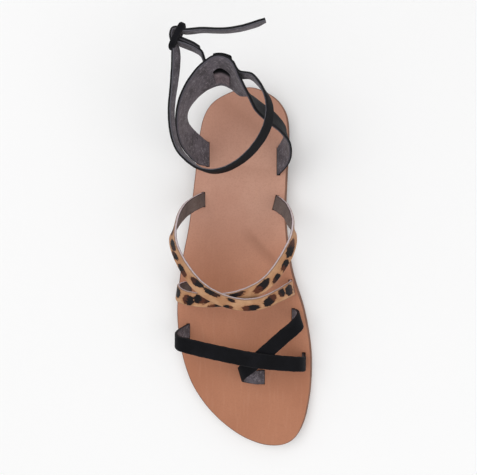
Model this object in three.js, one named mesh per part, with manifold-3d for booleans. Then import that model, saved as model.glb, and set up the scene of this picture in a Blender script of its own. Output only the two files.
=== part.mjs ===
// A flat leather sandal for the right foot: a leather footbed on a thin outsole and a low heel lift,
// two spotted straps that cross over the instep, a toe strap with a thong strap, a heel piece with two
// arms, and a tied ankle strap that runs through a keeper behind the top of the heel piece.
//
// Millimetres. The origin is on the floor under the middle of the heel, +Z is up, the toes point to -Y
// and +X is the inner side of the foot, the side of the big toe.

import * as THREE from "three";
import { mergeVertices } from "three/addons/utils/BufferGeometryUtils.js";
import Module from "manifold-3d";

// Sizes of the sole
const soleLength = 252;
const ballWidth = 93;
const heelReach = 30;
const footbedThickness = 3.2;
const outsoleThickness = 3;
const outsoleEdge = 0.6;
const heelLiftHeight = 5;
const heelLiftLength = 62;
const heelLiftInset = 0.8;
const archLength = 58;
const archGap = 4;
const toeSpring = 3.5;
const toeSpringLength = 55;

// Sizes of the straps
const strapThickness = 2;
const instepStrapWidth = 10.2;
const toeStrapWidth = 10.2;
const thongStrapWidth = 9.8;
const ankleStrapWidth = 8;
const instepRise = 38;
const toeRise = 25;
const heelPieceHeight = 78;
const heelPieceWidth = 33;

// Sizes of the keeper on the outside of the heel piece that holds the ankle strap
const keeperThickness = 1.2;
const keeperHalfWidth = 5.7;
const keeperDrop = 2;
const slitHalfWidth = 5.4;
const slitHeight = 3.4;
const slitLip = 0.7;
const slitDrop = 15.4;
const tongueLength = 12;
const strapSlack = 0.15;
const strapGap = 0.5;
const sewnDepth = 0.1;

// The gap between two pieces that meet
const clearance = 0.3;

const degrees = Math.PI / 180;

// Outline of the sole, a row for each section from the heel to the toe. Turn is the angle that puts the
// section at (1 - cos(turn)) / 2 of the sole's length, and outer and inner are shares of the ball width.
const outlineTable = named(["turn", "outer", "inner"], [
  [0, 0.022, 0.022],
  [10, -0.080, 0.112],
  [24, -0.258, 0.252],
  [34, -0.325, 0.310],
  [46, -0.361, 0.322],
  [60, -0.389, 0.308],
  [75, -0.435, 0.300],
  [90, -0.507, 0.342],
  [105, -0.540, 0.444],
  [118, -0.511, 0.490],
  [130, -0.441, 0.490],
  [140, -0.340, 0.470],
  [149, -0.224, 0.441],
  [157, -0.112, 0.404],
  [164, -0.014, 0.362],
  [170, 0.072, 0.312],
  [175, 0.135, 0.262],
  [180, 0.200, 0.200],
]);

// Each strap is a table with a row for each place where it bends. Along is a share of the sole's length
// from the back of the heel, across is a share of the ball width towards the inner side, and height is a
// share of the strap's own rise above the footbed. Turn and lift give the direction of the strap's width
// in degrees: turn is its compass direction from +X, and lift is how far it points up from level.
const strapColumns = ["along", "across", "height", "turn", "lift"];

// The instep strap that lies on top, from its slot on the outer side to its slot on the inner side.
const upperInstepTable = named(strapColumns, [
  [0.311, -0.323, 0, 90, 0],
  [0.322, -0.365, 0.235, 89, 4],
  [0.345, -0.427, 0.525, 86, 12],
  [0.379, -0.465, 0.789, 72, 38],
  [0.416, -0.481, 0.947, 22, 55],
  [0.465, -0.440, 1, 14, 47],
  [0.539, -0.306, 0.967, 37, 34],
  [0.576, -0.162, 0.845, 62, 34],
  [0.592, 0.002, 0.792, 84, 35],
  [0.588, 0.136, 0.747, 103, 35],
  [0.572, 0.250, 0.579, 110, 34],
  [0.560, 0.323, 0.368, 104, 20],
  [0.556, 0.352, 0.158, 101, 8],
  [0.556, 0.344, 0, 100, 0],
]);

// The instep strap that lies below, from its slot on the inner side to its slot on the outer side.
const lowerInstepTable = named(strapColumns, [
  [0.321, 0.227, 0, 76, 0],
  [0.331, 0.267, 0.236, 77, 12],
  [0.348, 0.315, 0.526, 69, 36],
  [0.376, 0.350, 0.789, 56, 60],
  [0.407, 0.370, 0.921, 141, 72],
  [0.455, 0.331, 0.948, 147, 50],
  [0.530, 0.189, 0.868, 124, 40],
  [0.562, 0.051, 0.812, 105, 34],
  [0.577, -0.085, 0.792, 92, 32],
  [0.584, -0.232, 0.706, 85, 20],
  [0.582, -0.370, 0.632, 79, 17],
  [0.576, -0.468, 0.487, 77, 12],
  [0.567, -0.505, 0.316, 80, 12],
  [0.563, -0.483, 0.145, 84, 6],
  [0.563, -0.439, 0, 90, 0],
]);

// The toe strap, from its slot on the outer side to its slot on the inner side.
const toeTable = named(strapColumns, [
  [0.685, -0.452, 0, 90, 0],
  [0.690, -0.485, 0.320, 89, 1],
  [0.698, -0.509, 0.640, 88, 6],
  [0.704, -0.478, 0.860, 88, 4],
  [0.710, -0.392, 0.970, 80, 0],
  [0.724, -0.192, 1.030, 80, 0],
  [0.742, 0.087, 1.020, 83, 0],
  [0.750, 0.274, 0.920, 87, 0],
  [0.756, 0.398, 0.730, 89, 0],
  [0.761, 0.441, 0.440, 90, 0],
  [0.760, 0.438, 0, 90, 0],
]);

// The thong strap, from the toe slot over its own turn, under the toe strap and back to the inner side.
const thongTable = named(strapColumns, [
  [0.811, 0.129, 0, 90, 0],
  [0.807, 0.078, 0.220, 94, 0],
  [0.800, 0.012, 0.400, 102, 0],
  [0.793, -0.022, 0.560, 106, 0],
  [0.781, -0.006, 0.740, 113, 0],
  [0.753, 0.078, 0.860, 130, 0],
  [0.712, 0.201, 0.890, 134, 0],
  [0.679, 0.301, 0.840, 135, 4],
  [0.655, 0.381, 0.720, 128, 10],
  [0.641, 0.412, 0.500, 110, 6],
  [0.636, 0.393, 0.220, 97, 3],
  [0.636, 0.359, 0, 90, 0],
]);

// The heel piece, from its slot on the outer side round the heel to its slot on the inner side. Width is
// a share of its greatest width, which it has at its rounded top.
const heelPieceTable = named([...strapColumns, "width"], [
  [0.185, -0.288, 0.000, -90, 0, 0.512],
  [0.178, -0.332, 0.103, -94, 4, 0.581],
  [0.160, -0.380, 0.256, -96, 22, 0.591],
  [0.141, -0.403, 0.397, -99, 40, 0.606],
  [0.116, -0.396, 0.526, -105, 58, 0.636],
  [0.085, -0.360, 0.628, -129, 78, 0.697],
  [0.053, -0.289, 0.702, 162, 83, 0.806],
  [0.026, -0.195, 0.756, 92, 77, 0.925],
  [0.014, -0.100, 0.777, 81, 73, 1.000],
  [0.024, -0.027, 0.766, 68, 72, 0.960],
  [0.048, 0.025, 0.714, 63, 78, 0.811],
  [0.065, 0.079, 0.654, -80, 82, 0.636],
  [0.091, 0.139, 0.593, -100, 66, 0.585],
  [0.115, 0.226, 0.500, -107, 62, 0.561],
  [0.138, 0.297, 0.359, -97, 68, 0.546],
  [0.160, 0.320, 0.231, -62, 60, 0.546],
  [0.183, 0.306, 0.118, -70, 32, 0.554],
  [0.207, 0.248, 0.000, -90, 0, 0.569],
]);

// The row of the heel piece, counted from 0, that has the slit and the keeper.
const topRow = 8.25;

// The ankle strap, from where it leaves the keeper on the inner side, round the front of the ankle, up the
// outer side, through the knot and out to its loose tip. Height is a share of the height of the heel
// piece, turn is the compass direction of the strap's outer face, and lean is how far its upper edge
// leans that way, in degrees.
const ankleColumns = ["along", "across", "height", "turn", "lean"];
const ankleTable = named(ankleColumns, [
  [0.037, 0.116, 0.859, 43, 8],
  [0.062, 0.178, 0.846, 34, 0],
  [0.093, 0.220, 0.837, 15, -16],
  [0.127, 0.226, 0.828, -6, -24],
  [0.159, 0.202, 0.821, -23, -24],
  [0.188, 0.156, 0.813, -36, -20],
  [0.216, 0.089, 0.805, -47, -16],
  [0.237, 0.013, 0.799, -59, -11],
  [0.251, -0.070, 0.795, -73, -8],
  [0.255, -0.153, 0.795, -94, -4],
  [0.247, -0.232, 0.797, -116, 3],
  [0.228, -0.303, 0.805, -132, 8],
  [0.203, -0.362, 0.815, -150, 9],
  [0.171, -0.394, 0.831, -167, 8],
  [0.135, -0.405, 0.849, -178, 7],
  [0.101, -0.402, 0.867, 175, 7],
  [0.068, -0.388, 0.885, 172, 9],
  [0.030, -0.373, 0.900, 173, 16],
  [-0.002, -0.365, 0.908, 178, 20],
  [-0.027, -0.366, 0.910, 182, 18],
  [-0.044, -0.374, 0.917, 188, 12],
  [-0.059, -0.382, 0.923, 178, 8],
  [-0.069, -0.370, 0.929, 127, 8],
  [-0.071, -0.340, 0.931, 84, 4],
  [-0.067, -0.298, 0.927, 86, -2],
  [-0.069, -0.197, 0.923, 90, -4],
  [-0.066, -0.055, 0.923, 90, -4],
  [-0.069, 0.041, 0.923, 99, -3],
  [-0.077, 0.136, 0.923, 106, -2],
  [-0.086, 0.206, 0.923, 109, 0],
]);

// The strand of the ankle strap from the outer side of the keeper to the knot, and its short end that
// comes back out of the knot and lies against the outside of that strand.
const strandTable = named(ankleColumns, [
  [-0.018, -0.203, 0.878, 50, 8],
  [-0.029, -0.243, 0.885, 58, 8],
  [-0.036, -0.291, 0.897, 71, 8],
  [-0.043, -0.345, 0.910, 76, 6],
]);
const shortEndTable = named(ankleColumns, [
  [-0.050, -0.330, 0.914, 66, 0],
  [-0.043, -0.290, 0.905, 66, 5],
  [-0.036, -0.250, 0.893, 60, 8],
  [-0.028, -0.216, 0.884, 54, 8],
]);

// The turn of the strap that binds the knot: a flat oval band that stands up across both strands. Its
// place is given as in the tables, and its long side points in the direction of its turn.
const knotTurnAt = { along: -0.057, across: -0.353, height: 0.920, turn: 63 };
const knotBandLength = 17.5;
const knotBandHeight = 12;
const knotBandWidth = 4.2;

// Turns rows of numbers into objects with named columns.
function named(columns, rows) {
  return rows.map((row) => Object.fromEntries(columns.map((column, i) => [column, row[i]])));
}

function smoothStep(from, to, value) {
  const share = Math.min(1, Math.max(0, (value - from) / (to - from)));
  return share * share * (3 - 2 * share);
}

// Height of the outsole's underside: level over the heel lift, down through the arch to the floor, level
// under the ball, and up at the toe.
function undersideHeight(y) {
  const archStart = heelReach - heelLiftLength - archGap;
  const heel = heelLiftHeight + clearance;
  const springStart = heelReach - soleLength + toeSpringLength;
  const spring = Math.max(0, (springStart - y) / toeSpringLength);
  return heel * smoothStep(archStart - archLength, archStart, y) + toeSpring * spring * spring;
}

function outsoleTop(y) {
  return undersideHeight(y) + outsoleThickness;
}

function footbedBottom(y) {
  return outsoleTop(y) + clearance;
}

function footbedTop(y) {
  return footbedBottom(y) + footbedThickness;
}

// A closed mesh from vertices and faces of three or four corners.
function closedMesh(points, faces) {
  const geometry = new THREE.BufferGeometry();
  const triangles = faces.flatMap((face) =>
    face.length === 4 ? [face[0], face[1], face[2], face[0], face[2], face[3]] : face);
  geometry.setAttribute("position", new THREE.Float32BufferAttribute(points.flatMap((p) => p.toArray()), 3));
  geometry.setIndex(triangles);
  return geometry;
}

const wasm = await Module();
wasm.setup();

function toSolid(geometry) {
  const merged = mergeVertices(geometry, 1e-4);
  const solid = new wasm.Manifold(new wasm.Mesh({
    numProp: 3,
    vertProperties: Float32Array.from(merged.attributes.position.array),
    triVerts: Uint32Array.from(merged.index.array),
  }));
  return solid.volume() < 0 ? toSolid(turnedInsideOut(merged)) : solid;
}

function turnedInsideOut(geometry) {
  const index = Array.from(geometry.index.array);
  for (let i = 0; i < index.length; i += 3) [index[i], index[i + 1]] = [index[i + 1], index[i]];
  geometry.setIndex(index);
  return geometry;
}

function fromSolid(solid) {
  const mesh = solid.getMesh();
  const geometry = new THREE.BufferGeometry();
  geometry.setAttribute("position", new THREE.BufferAttribute(new Float32Array(mesh.vertProperties), 3));
  geometry.setIndex(Array.from(mesh.triVerts));
  return geometry;
}

// The sole's outline, offset outwards by a distance: the points of its two sides, heel first.
const outlineSteps = 44;

function outlineSides(offset) {
  const side = (column) => new THREE.CatmullRomCurve3(
    outlineTable.map((row) => new THREE.Vector3(row.turn / 180, row[column], 0)), false, "centripetal");
  const sides = { outer: side("outer").getPoints(400), inner: side("inner").getPoints(400) };
  const sharesAt = (points, turn) => {
    const next = Math.max(1, points.findIndex((p) => p.x >= turn - 1e-9));
    const [a, b] = [points[next - 1], points[next]];
    return a.y + (b.y - a.y) * Math.min(1, (turn - a.x) / Math.max(1e-9, b.x - a.x));
  };
  const loop = [];
  const place = (column, turn) => new THREE.Vector2(
    sharesAt(sides[column], turn) * ballWidth,
    heelReach - soleLength * (1 - Math.cos(turn * Math.PI)) / 2);
  for (let i = 0; i <= outlineSteps; i++) loop.push(place("outer", i / outlineSteps));
  for (let i = outlineSteps - 1; i > 0; i--) loop.push(place("inner", i / outlineSteps));
  const moved = loop.map((point, i) => {
    const before = loop[(i + loop.length - 1) % loop.length];
    const after = loop[(i + 1) % loop.length];
    const run = after.clone().sub(before).normalize();
    return point.clone().add(new THREE.Vector2(run.y, -run.x).multiplyScalar(offset));
  });
  return {
    outer: moved.slice(0, outlineSteps + 1),
    inner: [moved[0], ...moved.slice(outlineSteps + 1).reverse(), moved[outlineSteps]],
  };
}

// A layer of the sole between two heights that change along it. It ends at the toe, or at a straight
// line across the foot.
function soleLayer(offset, bottomAt, topAt, endY = -Infinity) {
  const { outer, inner } = outlineSides(offset);
  const points = [];
  const rows = [];
  const addRow = (a, b) => {
    const corners = a === b ? [a] : [a, b];
    rows.push(corners.map((p) => {
      points.push(new THREE.Vector3(p.x, p.y, bottomAt(p.y)), new THREE.Vector3(p.x, p.y, topAt(p.y)));
      return points.length - 2;
    }));
  };
  for (let i = 0; i <= outlineSteps; i++) {
    if (i > 0 && outer[i].y < endY) {
      const cut = (side) => side[i - 1].clone().lerp(side[i], (side[i - 1].y - endY) / (side[i - 1].y - side[i].y));
      addRow(cut(outer), cut(inner));
      break;
    }
    if (i === 0 || i === outlineSteps) addRow(outer[i], outer[i]);
    else addRow(outer[i], inner[i]);
  }
  const faces = [];
  for (let i = 0; i + 1 < rows.length; i++) {
    const [a, b] = [rows[i][0], rows[i][rows[i].length - 1]];
    const [c, d] = [rows[i + 1][0], rows[i + 1][rows[i + 1].length - 1]];
    if (a === b) faces.push([a + 1, c + 1, d + 1], [a, d, c]);
    else if (c === d) faces.push([a + 1, c + 1, b + 1], [a, b, c]);
    else faces.push([a + 1, c + 1, d + 1, b + 1], [a, b, d, c]);
    faces.push([a, c, c + 1, a + 1], [b, b + 1, d + 1, d]);
  }
  const [first, last] = rows[rows.length - 1];
  if (last !== undefined) faces.push([first, last, last + 1, first + 1]);
  return toSolid(closedMesh(points, faces));
}

// The middle line and the width of a strap, as functions of the row number in its table.
function strapPath(table, rise, widthAt) {
  const centres = table.map((row) => {
    const y = heelReach - row.along * soleLength;
    return new THREE.Vector3(row.across * ballWidth, y, footbedTop(y) + row.height * rise);
  });
  const widths = table.map((row) => {
    const level = Math.cos(row.lift * degrees);
    return new THREE.Vector3(
      level * Math.cos(row.turn * degrees), level * Math.sin(row.turn * degrees), Math.sin(row.lift * degrees));
  });
  return pathFrom(centres, widths, widthAt);
}

function pathFrom(centres, widths, widthAt) {
  const last = centres.length - 1;
  const centreLine = new THREE.CatmullRomCurve3(centres, false, "centripetal");
  const widthLine = new THREE.CatmullRomCurve3(widths, false, "catmullrom", 0.5);
  return {
    last,
    centre: (row) => centreLine.getPoint(row / last),
    across: (row) => widthLine.getPoint(row / last).normalize(),
    along: (row) => {
      const back = centreLine.getPoint(Math.max(0, row - 0.02) / last);
      return centreLine.getPoint(Math.min(last, row + 0.02) / last).sub(back).normalize();
    },
    width: widthAt,
    face(row) {
      return this.along(row).cross(this.across(row)).normalize();
    },
    at(row, up, out = 0) {
      return this.centre(row).addScaledVector(this.across(row), up).addScaledVector(this.face(row), out);
    },
  };
}

// A sheet of leather from a grid of points on its middle surface, with its real thickness.
function sheet(grid, thickness) {
  const rows = grid.length;
  const columns = grid[0].length;
  const normalAt = (i, j) => {
    const down = grid[Math.min(rows - 1, i + 1)][j].clone().sub(grid[Math.max(0, i - 1)][j]);
    const side = grid[i][Math.min(columns - 1, j + 1)].clone().sub(grid[i][Math.max(0, j - 1)]);
    return down.cross(side).normalize();
  };
  const points = [];
  for (let i = 0; i < rows; i++) {
    for (let j = 0; j < columns; j++) {
      const normal = normalAt(i, j);
      points.push(grid[i][j].clone().addScaledVector(normal, thickness / 2));
      points.push(grid[i][j].clone().addScaledVector(normal, -thickness / 2));
    }
  }
  const at = (i, j) => 2 * (i * columns + j);
  const faces = [];
  for (let i = 0; i + 1 < rows; i++) {
    for (let j = 0; j + 1 < columns; j++) {
      const corners = [at(i, j), at(i + 1, j), at(i + 1, j + 1), at(i, j + 1)];
      faces.push(corners, corners.map((c) => c + 1).reverse());
    }
    faces.push([at(i, 0), at(i, 0) + 1, at(i + 1, 0) + 1, at(i + 1, 0)]);
    const end = columns - 1;
    faces.push([at(i, end), at(i + 1, end), at(i + 1, end) + 1, at(i, end) + 1]);
  }
  for (let j = 0; j + 1 < columns; j++) {
    faces.push([at(0, j), at(0, j + 1), at(0, j + 1) + 1, at(0, j) + 1]);
    const end = rows - 1;
    faces.push([at(end, j), at(end, j) + 1, at(end, j + 1) + 1, at(end, j + 1)]);
  }
  return toSolid(closedMesh(points, faces));
}

// A strap along a path. Where it ends in a slot, it goes straight down into the sole.
const stepsPerRow = 3;
const slotDepth = footbedThickness + clearance + 1.5;

function strap(path, { thickness = strapThickness, extra = 0, startInSlot = true, endInSlot = true } = {}) {
  const grid = [];
  const crossLine = (row, drop) => {
    const half = path.width(row) / 2 + extra;
    return [half, -half].map((up) => path.at(row, up).add(new THREE.Vector3(0, 0, -drop)));
  };
  if (startInSlot) grid.push(crossLine(0, slotDepth));
  for (let i = 0; i <= path.last * stepsPerRow; i++) grid.push(crossLine(i / stepsPerRow, 0));
  if (endInSlot) grid.push(crossLine(path.last, slotDepth));
  return sheet(grid, thickness + 2 * extra);
}

// The straps' paths
const upperInstep = strapPath(upperInstepTable, instepRise, () => instepStrapWidth);
const lowerInstep = strapPath(lowerInstepTable, instepRise, () => instepStrapWidth);
const toe = strapPath(toeTable, toeRise, () => toeStrapWidth);
const thong = strapPath(thongTable, toeRise, () => thongStrapWidth);
const heelWidths = new THREE.CatmullRomCurve3(
  heelPieceTable.map((row, i) => new THREE.Vector3(i, row.width, 0)), false, "catmullrom", 0.5);
const heelWall = strapPath(heelPieceTable, heelPieceHeight,
  (row) => heelWidths.getPoint(row / (heelPieceTable.length - 1)).y * heelPieceWidth);

// The room that the outsole and its glue line take, which the straps' ends stop at
const outsoleRoom = soleLayer(ballWidth / 4, (y) => outsoleTop(y) - soleLength / 25, (y) => footbedBottom(y));

// The footbed, with a slot for each end of the four straps and the heel piece
function makeFootbed() {
  let footbed = soleLayer(0, footbedBottom, footbedTop);
  for (const path of [upperInstep, lowerInstep, toe, thong, heelWall]) {
    footbed = footbed.subtract(strap(path, { extra: clearance }));
  }
  return fromSolid(footbed);
}

function makeOutsole() {
  return fromSolid(soleLayer(outsoleEdge, undersideHeight, outsoleTop));
}

function makeHeelLift() {
  return fromSolid(soleLayer(-heelLiftInset, () => 0, () => heelLiftHeight, heelReach - heelLiftLength));
}

function makeCrossedStraps(first, second) {
  return fromSolid(strap(first).add(strap(second)).subtract(outsoleRoom));
}

// The keeper of the heel piece: a strip that is sewn on outside under the rim, goes down over the ankle
// strap and in through the slit, and ends as a tongue inside. Its path lies in the plane across the wall:
// out is the distance from the wall's middle surface to the outer side, and up is the height from the
// middle of the wall.
const wallOutside = -1;
const slitUp = heelPieceWidth / 2 - slitDrop;
const strapOut = strapThickness + clearance + strapSlack;
const strapUp = slitUp + keeperThickness + clearance + ankleStrapWidth / 2 + strapGap;
const keeperSewnOut = (strapThickness + keeperThickness) / 2 - sewnDepth;
const keeperReach = strapOut + strapThickness / 2 + clearance + keeperThickness / 2;

function keeperPath() {
  const strapTop = strapUp + ankleStrapWidth / 2;
  const bend = keeperReach - keeperSewnOut;
  return [
    [keeperSewnOut, heelPieceWidth / 2 - keeperDrop],
    [keeperSewnOut, strapTop + bend],
    [keeperSewnOut + bend * 0.12, strapTop + bend * 0.7],
    [keeperSewnOut + bend * 0.4, strapTop + bend * 0.46],
    [keeperSewnOut + bend * 0.78, strapTop + bend * 0.36],
    [keeperReach, strapTop - bend * 0.07],
    [keeperReach, (strapTop + slitUp) / 2],
    [keeperReach, slitUp + keeperThickness * 1.6],
    [keeperReach * 0.62, slitUp + keeperThickness * 0.45],
    [keeperReach * 0.25, slitUp + keeperThickness * 0.15],
    [-keeperSewnOut * 0.6, slitUp - keeperThickness * 0.2],
    [-keeperSewnOut, slitUp - keeperThickness * 1.15],
    [-keeperSewnOut, slitUp - tongueLength],
  ];
}

function makeHeelPiece() {
  const rowLength = heelWall.centre(topRow - 0.5).distanceTo(heelWall.centre(topRow + 0.5));
  const path = keeperPath();
  const grid = path.map(([out, up], i) => {
    const share = smoothStep(5, path.length - 5, i);
    const half = (keeperHalfWidth + (slitHalfWidth - clearance - keeperHalfWidth) * share) / rowLength;
    return [-1, -0.6, -0.2, 0.2, 0.6, 1].map((k) => heelWall.at(topRow + k * half, up, wallOutside * out));
  });
  const keeper = sheet(grid, keeperThickness);
  const slitRows = [-1, -0.5, 0, 0.5, 1].map((k) => {
    const high = slitHeight * (1 - 0.8 * k * k);
    return [-slitLip, high].map((up) => heelWall.at(topRow + k * slitHalfWidth / rowLength, slitUp + up));
  });
  const slit = sheet(slitRows, strapThickness * 2.2);
  return fromSolid(strap(heelWall).subtract(slit).add(keeper).subtract(outsoleRoom));
}

// Paths of the ankle strap: its width stands up and leans outwards by the row's lean.
function leaningPath(table, before = []) {
  const rows = table.map((row) => {
    const y = heelReach - row.along * soleLength;
    const lean = row.lean * degrees;
    return {
      centre: new THREE.Vector3(row.across * ballWidth, y,
        footbedTop(heelReach) + row.height * heelPieceHeight),
      across: new THREE.Vector3(
        Math.sin(lean) * Math.cos(row.turn * degrees), Math.sin(lean) * Math.sin(row.turn * degrees), Math.cos(lean)),
    };
  });
  const all = [...before, ...rows];
  return pathFrom(all.map((row) => row.centre), all.map((row) => row.across), () => ankleStrapWidth);
}

// Rows of the ankle strap behind the heel piece, which follow the outer side of its wall: how many rows
// of the wall they are from the keeper, and how far the strap has come down there.
const behindMain = [[-0.95, 0], [-0.4, 0], [0, 0], [0.4, 0], [0.7, 0.3], [1.2, 3.3]];
const behindStrand = [[0, 0], [-0.4, 0], [-0.95, 0]];

function rowsBehind(places) {
  return places.map(([offset, drop]) => ({
    centre: heelWall.at(topRow + offset, strapUp - drop, wallOutside * strapOut),
    across: heelWall.across(topRow + offset),
  }));
}

const tipLength = 7;
const tipShare = 0.55;

function makeAnkleStrap() {
  const free = { startInSlot: false, endInSlot: false };
  const main = leaningPath(ankleTable, rowsBehind(behindMain));
  const tipRow = main.last - tipLength / main.centre(main.last - 1).distanceTo(main.centre(main.last));
  main.width = (row) => ankleStrapWidth * (1 - (1 - tipShare) * smoothStep(tipRow, main.last, row) ** 2);
  const strand = leaningPath(strandTable, rowsBehind(behindStrand));
  const shortEnd = leaningPath(shortEndTable);
  return fromSolid([strand, shortEnd].reduce((solid, path) => solid.add(strap(path, free)), strap(main, free))
    .add(knotBand()));
}

// The band of the knot: an upright oval ring as thick as the strap.
function knotBand() {
  const y = heelReach - knotTurnAt.along * soleLength;
  const shape = new THREE.Shape();
  shape.absellipse(0, 0, knotBandLength / 2, knotBandHeight / 2, 0, Math.PI * 2);
  const inside = new THREE.Path();
  inside.absellipse(0, 0, knotBandLength / 2 - strapThickness, knotBandHeight / 2 - strapThickness, 0, Math.PI * 2);
  shape.holes.push(inside);
  const band = new THREE.ExtrudeGeometry(shape, { depth: knotBandWidth, bevelEnabled: false, curveSegments: 12 });
  band.translate(0, 0, -knotBandWidth / 2);
  band.rotateX(Math.PI / 2);
  band.rotateZ(knotTurnAt.turn * degrees);
  band.translate(knotTurnAt.across * ballWidth, y,
    footbedTop(heelReach) + knotTurnAt.height * heelPieceHeight);
  band.deleteAttribute("normal");
  band.deleteAttribute("uv");
  return toSolid(band);
}

const colours = {
  footbed: 0xb57e63,
  outsole: 0x4a3a33,
  heelLift: 0x2b2624,
  spotted: 0xb98c58,
  black: 0x222226,
};

function addPiece(group, name, geometry, colour, roughness) {
  const flat = geometry.toNonIndexed();
  flat.computeVertexNormals();
  const mesh = new THREE.Mesh(flat, new THREE.MeshStandardMaterial({ color: colour, roughness, metalness: 0 }));
  mesh.name = name;
  group.add(mesh);
}

const sandal = new THREE.Group();
addPiece(sandal, "footbed", makeFootbed(), colours.footbed, 0.55);
addPiece(sandal, "outsole", makeOutsole(), colours.outsole, 0.7);
addPiece(sandal, "heel_lift", makeHeelLift(), colours.heelLift, 0.8);
addPiece(sandal, "instep_straps", makeCrossedStraps(upperInstep, lowerInstep), colours.spotted, 0.8);
addPiece(sandal, "toe_straps", makeCrossedStraps(toe, thong), colours.black, 0.5);
addPiece(sandal, "heel_piece", makeHeelPiece(), colours.black, 0.55);
addPiece(sandal, "ankle_strap", makeAnkleStrap(), colours.black, 0.55);

export default sandal;
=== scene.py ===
"""The looks of a flat leather sandal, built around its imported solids.

Lengths are in millimetres and become metres when a mesh is made. The frame is that of the solids: the
origin is on the floor under the middle of the heel, +Z is up, the toes point to -Y and +X is the inner
side of the foot.
"""

import math

import bpy
import numpy as np
from mathutils import Matrix, Vector
from mathutils.kdtree import KDTree


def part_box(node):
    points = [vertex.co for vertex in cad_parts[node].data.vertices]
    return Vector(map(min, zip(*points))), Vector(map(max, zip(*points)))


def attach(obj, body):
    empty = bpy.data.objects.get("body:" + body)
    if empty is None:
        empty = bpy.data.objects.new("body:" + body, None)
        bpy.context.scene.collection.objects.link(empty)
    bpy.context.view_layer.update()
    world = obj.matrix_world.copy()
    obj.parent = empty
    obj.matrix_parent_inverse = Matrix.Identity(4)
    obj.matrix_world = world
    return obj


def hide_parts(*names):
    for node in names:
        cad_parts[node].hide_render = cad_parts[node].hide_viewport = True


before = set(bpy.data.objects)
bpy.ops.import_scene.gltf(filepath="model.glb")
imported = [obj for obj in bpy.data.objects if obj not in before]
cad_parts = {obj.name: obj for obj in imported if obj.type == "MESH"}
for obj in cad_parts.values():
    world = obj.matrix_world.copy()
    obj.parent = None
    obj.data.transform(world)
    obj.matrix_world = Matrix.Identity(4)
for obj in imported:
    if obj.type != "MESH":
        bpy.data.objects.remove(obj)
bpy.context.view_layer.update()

MM = 0.001

# Camera
# It stands where the photograph was taken from and turns to the middle of this one shoe.
CAMERA_PLACE = Vector((44.8, -68.1, 439)) * MM
CAMERA_TARGET = Vector((-4, -75, 20)) * MM
SENSOR_WIDTH = 36
LENS = 46.2


def make_camera():
    data = bpy.data.cameras.new("camera")
    data.sensor_width = SENSOR_WIDTH
    data.lens = LENS
    data.clip_start = 0.01
    camera = bpy.data.objects.new("camera", data)
    bpy.context.scene.collection.objects.link(camera)
    back = (CAMERA_PLACE - CAMERA_TARGET).normalized()
    right = Vector((0, 1, 0)).cross(back).normalized()
    up = back.cross(right)
    turn = Matrix((right, up, back)).transposed().to_4x4()
    camera.matrix_world = Matrix.Translation(CAMERA_PLACE) @ turn
    bpy.context.scene.camera = camera


make_camera()

# Sizes, as in the solids. The first ones are the sole's.
footbed_low, footbed_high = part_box("footbed")
SOLE_LENGTH = (footbed_high.y - footbed_low.y) / MM
HEEL_REACH = footbed_high.y / MM
BALL_WIDTH = 93
FOOTBED_THICKNESS = 3.2
OUTSOLE_THICKNESS = 3
OUTSOLE_EDGE = 0.6
HEEL_LIFT_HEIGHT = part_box("heel_lift")[1].z / MM
HEEL_LIFT_LENGTH = 62
HEEL_LIFT_INSET = 0.8
ARCH_LENGTH = 58
ARCH_GAP = 4
TOE_SPRING = 3.5
TOE_SPRING_LENGTH = 55
CLEARANCE = 0.3

# Straps and heel piece, with their rises above the footbed
STRAP_THICKNESS = 2
INSTEP_STRAP_WIDTH = 10.2
TOE_STRAP_WIDTH = 10.2
THONG_STRAP_WIDTH = 9.8
ANKLE_STRAP_WIDTH = 8
INSTEP_RISE = 38
TOE_RISE = 25
HEEL_PIECE_HEIGHT = 78
HEEL_PIECE_WIDTH = 33

# The keeper: a drop is measured down from the heel piece's rim, the skiving thins the sewn end, the
# rounding lowers its corners, and the swing is the extra length of its way round the ankle strap.
KEEPER_THICKNESS = 1.2
KEEPER_HALF_WIDTH = 5.7
KEEPER_SEWN_SHARE = 0.62
KEEPER_DROP = 2
KEEPER_SKIVING = 0.9
KEEPER_ROUNDING = 2.6
KEEPER_EDGE_ROUNDING = 0.35
KEEPER_SWING = 7
TONGUE_LENGTH = 12
STRAP_SLACK = 0.15
STRAP_GAP = 0.5
SEWN_DEPTH = 0.1

# The slit that the keeper goes in through
SLIT_DROP = 15.4
SLIT_HALF_WIDTH = 5.4
SLIT_HEIGHT = 2.9
SLIT_LIP = 0.7
SLIT_ARCH = 0.8
SLIT_SLANT = 0.5
SLIT_CUTTER_DEPTH = STRAP_THICKNESS * 2.2
SLIT_CUTTER_ROUNDING = 0.05

# The slots in the footbed
SLOT_DEPTH = FOOTBED_THICKNESS - 0.1
SLOT_ROOM = 0.35
SLOT_CUTTER_HEIGHTS = (-FOOTBED_THICKNESS - 3, 4)

# Outline of the sole: the turn that puts a row at (1 - cos(turn)) / 2 of the sole's length from the heel,
# and the outer and inner side as shares of the ball width.
OUTLINE = [
    (0, 0.022, 0.022),
    (10, -0.080, 0.112),
    (24, -0.258, 0.252),
    (34, -0.325, 0.310),
    (46, -0.361, 0.322),
    (60, -0.389, 0.308),
    (75, -0.435, 0.300),
    (90, -0.507, 0.342),
    (105, -0.540, 0.444),
    (118, -0.511, 0.490),
    (130, -0.441, 0.490),
    (140, -0.340, 0.470),
    (149, -0.224, 0.441),
    (157, -0.112, 0.404),
    (164, -0.014, 0.362),
    (170, 0.072, 0.312),
    (175, 0.135, 0.262),
    (180, 0.200, 0.200),
]

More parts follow.
